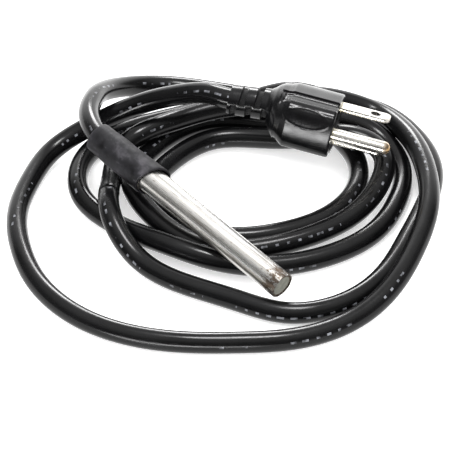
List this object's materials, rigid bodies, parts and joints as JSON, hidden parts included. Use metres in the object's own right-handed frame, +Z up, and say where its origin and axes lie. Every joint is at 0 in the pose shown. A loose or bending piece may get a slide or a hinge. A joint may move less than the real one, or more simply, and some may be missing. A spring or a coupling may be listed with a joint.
{
  "type": "submersible aquarium heater",
  "caption": "Small stainless cartridge immersion heater with a shrink-fitted boot, on a round black mains lead that lies in a loose coil and ends in a moulded grounded plug.",
  "frame": {"origin": "centre of the outer face of the steel disc that closes the heater's end", "axes": "+X is the level heading from the boot to the heater's end, +Z is up; the heater's own axis dips 9.5 degrees below +X, and the table it lies on is the plane z = -10.6 mm"},
  "size_m": [0.1505, 0.1627, 0.0394],
  "materials": {
    "steel": "drawn stainless tube, lightly heat-stained",
    "end_steel": "dull end face with oxide",
    "boot": "matte shrink-fit rubber",
    "sealant": "dark sealant",
    "ceramic": "unglazed",
    "magnesia": "packed powder",
    "nickel": "drawn wire",
    "tin_plate": "tin plate",
    "bare_brass": "plain",
    "core_black": "PVC core",
    "core_white": "PVC core",
    "core_green": "PVC core",
    "potting": "cast resin",
    "cord_pvc": "glossy black jacket",
    "plug_pvc": "satin to glossy moulded PVC",
    "plug_bridge": "hard plastic",
    "plug_plate": "nickel-plated brass",
    "pin_plate": "nickel-plated brass, worn at the tip"
  },
  "bodies": {
    "root": {"sheath_tube": "steel", "end_disc": "end_steel", "shrink_boot": "boot", "boot_liner": "sealant", "tip_insulator": "ceramic", "ceramic_core_1": "ceramic", "ceramic_core_2": "ceramic", "ceramic_core_3": "ceramic", "ceramic_core_4": "ceramic", "cold_end_bushing": "ceramic", "magnesia_fill": "magnesia", "heating_coil": "nickel", "terminal_pin_live": "nickel", "terminal_pin_neutral": "nickel", "fuse_link": "nickel", "crimp_live": "tin_plate", "crimp_neutral": "tin_plate", "thermal_fuse": "bare_brass", "earth_tag": "tin_plate", "wire_live": "core_black", "wire_neutral": "core_white", "wire_earth": "core_green", "potting_seal": "potting", "power_cord": "cord_pvc", "plug_overmould": "plug_pvc", "plug_insert": "plug_bridge", "blade_live": "plug_plate", "blade_neutral": "plug_plate", "ground_pin": "pin_plate", "plug_wire_live": "core_black", "plug_wire_neutral": "core_white", "plug_wire_earth": "core_green"}
  },
  "joints": []
}
